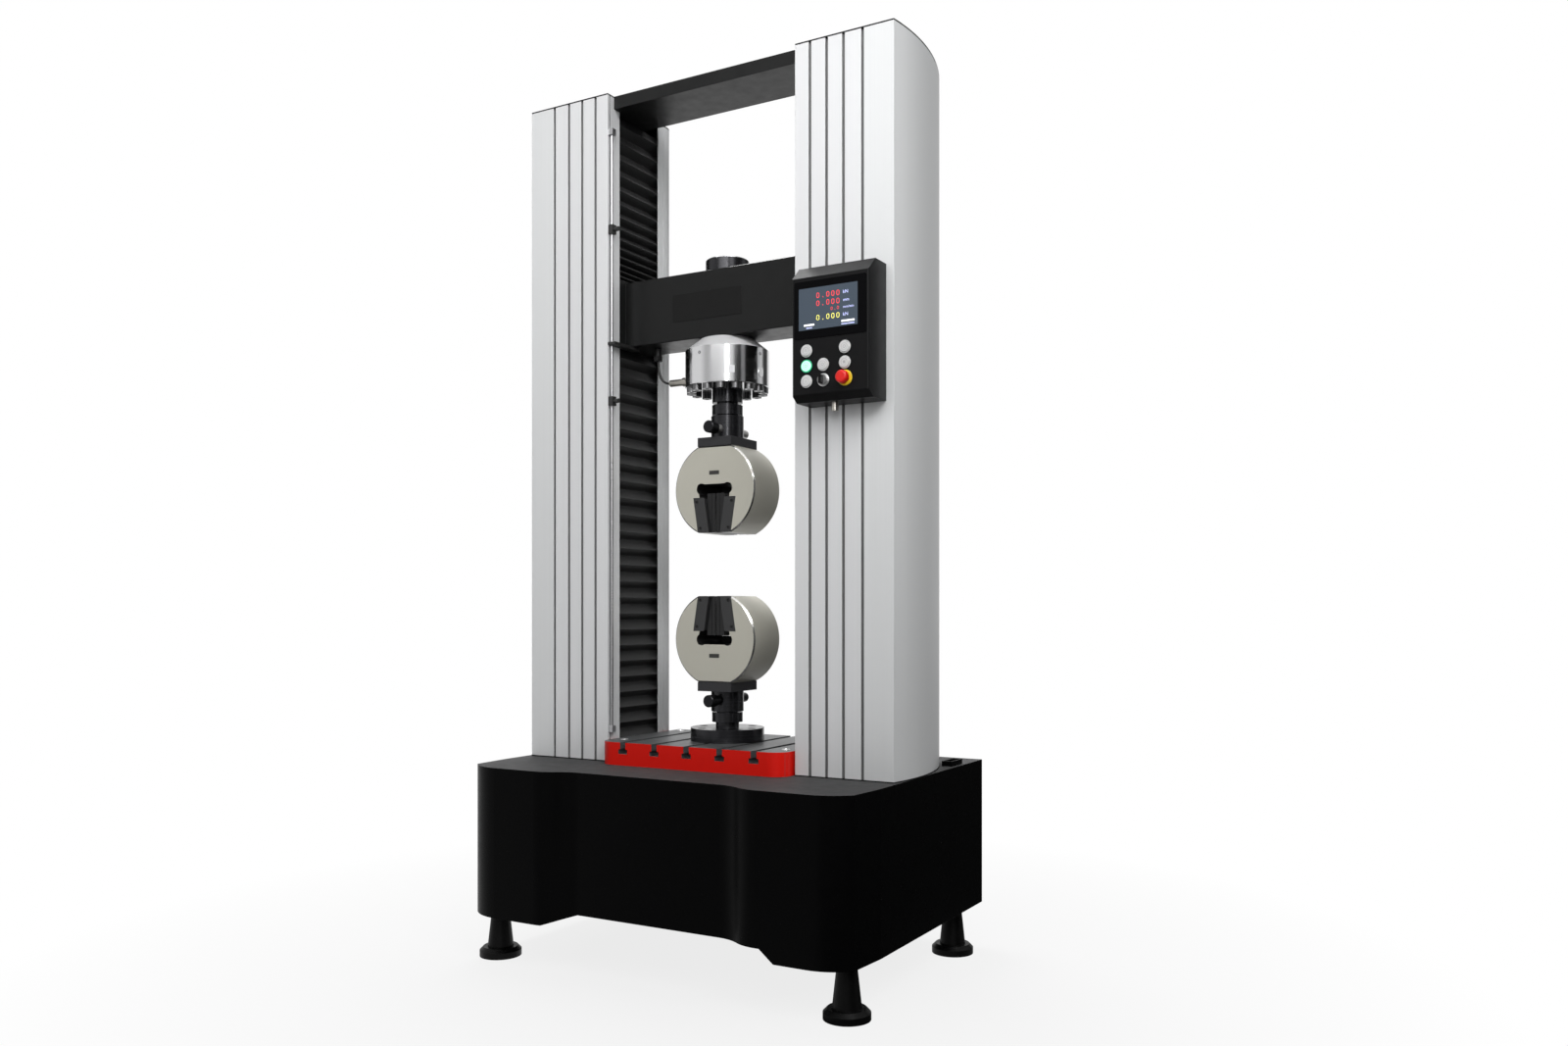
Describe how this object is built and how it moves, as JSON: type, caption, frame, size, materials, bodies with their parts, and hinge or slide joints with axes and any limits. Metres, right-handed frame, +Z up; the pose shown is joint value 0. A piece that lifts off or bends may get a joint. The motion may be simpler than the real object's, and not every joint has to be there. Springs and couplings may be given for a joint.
{
  "type": "universal testing machine",
  "caption": "Floor-standing dual-column tensile testing machine with a screw-driven crosshead, load cell, wedge grips, T-slot table and side control panel.",
  "frame": {"origin": "on the floor under the test axis, midway between the columns", "axes": "+Z up along the test axis, +X to the operator's right, -Y towards the operator"},
  "size_m": [1.2099, 0.848, 2.442],
  "materials": {
    "cabinet_black": "black powder coat",
    "frame_steel": "grey primer on welded plate",
    "foot_rubber": "matt moulded rubber",
    "table_red": "gloss red paint, ground top",
    "column_aluminium": "satin anodised extrusion",
    "cover_aluminium": "satin anodised sheet",
    "beam_black": "satin black paint",
    "ground_steel": "ground and oiled",
    "motor_black": "black cast housing",
    "belt_rubber": "toothed belt",
    "rod_steel": "bright drawn rod",
    "bellows_fabric": "coated pleated cloth",
    "panel_black": "fine textured black",
    "screen_glass": "gloss front pane",
    "connector_nickel": "nickel plated",
    "black_oxide": "blackened turned steel",
    "plate_black": "blackened milled steel",
    "grip_nickel": "satin nickel plate",
    "retainer_black": "blackened steel",
    "jaw_black": "hardened and blackened",
    "pin_steel": "blackened pin",
    "stop_black": "black clamp",
    "cell_steel": "fine turned stainless steel",
    "bolt_steel": "zinc plated socket heads",
    "cable_black": "sheathed cable",
    "gland_black": "black gland",
    "selector_silver": "bright ring, black handle",
    "emergency_red": "red mushroom head",
    "button_white": "white cap",
    "button_green": "lit green cap"
  },
  "bodies": {
    "frame": {"base_cabinet": "cabinet_black", "base_frame": "frame_steel", "machine_feet": "foot_rubber", "work_table": "table_red", "left_column_profile": "column_aluminium", "right_column_profile": "column_aluminium", "left_column_cover": "cover_aluminium", "right_column_cover": "cover_aluminium", "crown_beam": "beam_black", "guide_rods": "ground_steel", "screw_bearings": "ground_steel", "servo_motor": "motor_black", "drive_belt": "belt_rubber", "limit_rod": "rod_steel", "upper_bellows": "bellows_fabric", "lower_bellows": "bellows_fabric", "control_box": "panel_black", "display_screen": "screen_glass", "panel_connector": "connector_nickel", "lower_flange": "black_oxide", "lower_lock_nut": "black_oxide", "lower_socket": "black_oxide", "lower_grip_body": "grip_nickel", "lower_grip_plate": "plate_black", "lower_jaw_retainers": "retainer_black"},
    "crosshead": {"crosshead_beam": "beam_black", "crosshead_boss": "black_oxide", "limit_striker": "stop_black", "ball_nuts": "ground_steel", "guide_bushes": "ground_steel", "load_cell": "cell_steel", "load_cell_bolts": "bolt_steel", "load_cell_connector": "connector_nickel", "load_cell_cable": "cable_black", "cable_gland": "gland_black", "upper_adapter": "black_oxide", "upper_lock_nut": "black_oxide", "upper_socket": "black_oxide", "upper_grip_body": "grip_nickel", "upper_grip_plate": "plate_black", "upper_jaw_retainers": "retainer_black"},
    "left_screw": {"left_ball_screw": "ground_steel"},
    "right_screw": {"right_ball_screw": "ground_steel"},
    "motor_drive": {"motor_pulley": "ground_steel"},
    "upper_left_wedge": {"upper_left_jaw": "jaw_black"},
    "upper_right_wedge": {"upper_right_jaw": "jaw_black"},
    "lower_left_wedge": {"lower_left_jaw": "jaw_black"},
    "lower_right_wedge": {"lower_right_jaw": "jaw_black"},
    "upper_pin": {"upper_coupling_pin": "pin_steel"},
    "lower_pin": {"lower_coupling_pin": "pin_steel"},
    "upper_stop": {"upper_limit_stop": "stop_black"},
    "lower_stop": {"lower_limit_stop": "stop_black"},
    "selector": {"selector_knob": "selector_silver"},
    "emergency": {"emergency_stop": "emergency_red"},
    "jog_up_key": {"jog_up_button": "button_white"},
    "start_key": {"start_button": "button_green"},
    "jog_down_key": {"jog_down_button": "button_white"},
    "return_key": {"return_button": "button_white"},
    "zero_key": {"zero_button": "button_white"},
    "stop_key": {"stop_button": "button_white"}
  },
  "joints": [
    {"name": "crosshead_slide", "type": "slide", "parent": "frame", "child": "crosshead", "axis": [0, 0, 1], "range_m": [-0.14, 0.3], "deforming": ["upper_bellows", "lower_bellows"]},
    {"name": "left_screw_spin", "type": "hinge", "parent": "frame", "child": "left_screw", "pos_m": [-0.375, 0, 0.54], "axis": [0, 0, 1], "continuous": true},
    {"name": "right_screw_spin", "type": "hinge", "parent": "frame", "child": "right_screw", "pos_m": [0.375, 0, 0.54], "axis": [0, 0, 1], "continuous": true},
    {"name": "motor_spin", "type": "hinge", "parent": "frame", "child": "motor_drive", "pos_m": [0, 0.15, 0.44], "axis": [0, 0, 1], "continuous": true},
    {"name": "upper_right_jaw_slide", "type": "slide", "parent": "crosshead", "child": "upper_right_wedge", "axis": [0.1564, 0, 0.9877], "range_m": [0, 0.025]},
    {"name": "upper_left_jaw_slide", "type": "slide", "parent": "crosshead", "child": "upper_left_wedge", "axis": [-0.1564, 0, 0.9877], "range_m": [0, 0.025]},
    {"name": "upper_pin_pull", "type": "slide", "parent": "crosshead", "child": "upper_pin", "axis": [0, -1, 0], "range_m": [0, 0.15]},
    {"name": "lower_right_jaw_slide", "type": "slide", "parent": "frame", "child": "lower_right_wedge", "axis": [0.1564, 0, -0.9877], "range_m": [0, 0.025]},
    {"name": "lower_left_jaw_slide", "type": "slide", "parent": "frame", "child": "lower_left_wedge", "axis": [-0.1564, 0, -0.9877], "range_m": [0, 0.025]},
    {"name": "lower_pin_pull", "type": "slide", "parent": "frame", "child": "lower_pin", "axis": [0, -1, 0], "range_m": [0, 0.15]},
    {"name": "upper_stop_slide", "type": "slide", "parent": "frame", "child": "upper_stop", "axis": [0, 0, 1], "range_m": [0, 0.25]},
    {"name": "lower_stop_slide", "type": "slide", "parent": "frame", "child": "lower_stop", "axis": [0, 0, 1], "range_m": [-0.85, 0]},
    {"name": "jog_up_press", "type": "slide", "parent": "frame", "child": "jog_up_key", "axis": [0, 1, 0], "range_m": [0, 0.003], "stiffness_N_per_m": 400},
    {"name": "start_press", "type": "slide", "parent": "frame", "child": "start_key", "axis": [0, 1, 0], "range_m": [0, 0.003], "stiffness_N_per_m": 400},
    {"name": "jog_down_press", "type": "slide", "parent": "frame", "child": "jog_down_key", "axis": [0, 1, 0], "range_m": [0, 0.003], "stiffness_N_per_m": 400},
    {"name": "return_press", "type": "slide", "parent": "frame", "child": "return_key", "axis": [0, 1, 0], "range_m": [0, 0.003], "stiffness_N_per_m": 400},
    {"name": "zero_press", "type": "slide", "parent": "frame", "child": "zero_key", "axis": [0, 1, 0], "range_m": [0, 0.003], "stiffness_N_per_m": 400},
    {"name": "stop_press", "type": "slide", "parent": "frame", "child": "stop_key", "axis": [0, 1, 0], "range_m": [0, 0.003], "stiffness_N_per_m": 400},
    {"name": "emergency_press", "type": "slide", "parent": "frame", "child": "emergency", "axis": [0, 1, 0], "range_m": [0, 0.005]},
    {"name": "selector_turn", "type": "hinge", "parent": "frame", "child": "selector", "pos_m": [0.442, -0.2515, 1.5405], "axis": [0, -1, 0], "range_deg": [-45, 45]}
  ],
  "couplings": [
    {"joint": "left_screw_spin", "follows": "crosshead_slide", "rad_per_m": -314.16},
    {"joint": "right_screw_spin", "follows": "crosshead_slide", "rad_per_m": -314.16},
    {"joint": "motor_spin", "follows": "crosshead_slide", "rad_per_m": -418.88},
    {"joint": "upper_left_jaw_slide", "follows": "upper_right_jaw_slide", "ratio": 1},
    {"joint": "lower_left_jaw_slide", "follows": "lower_right_jaw_slide", "ratio": 1}
  ]
}
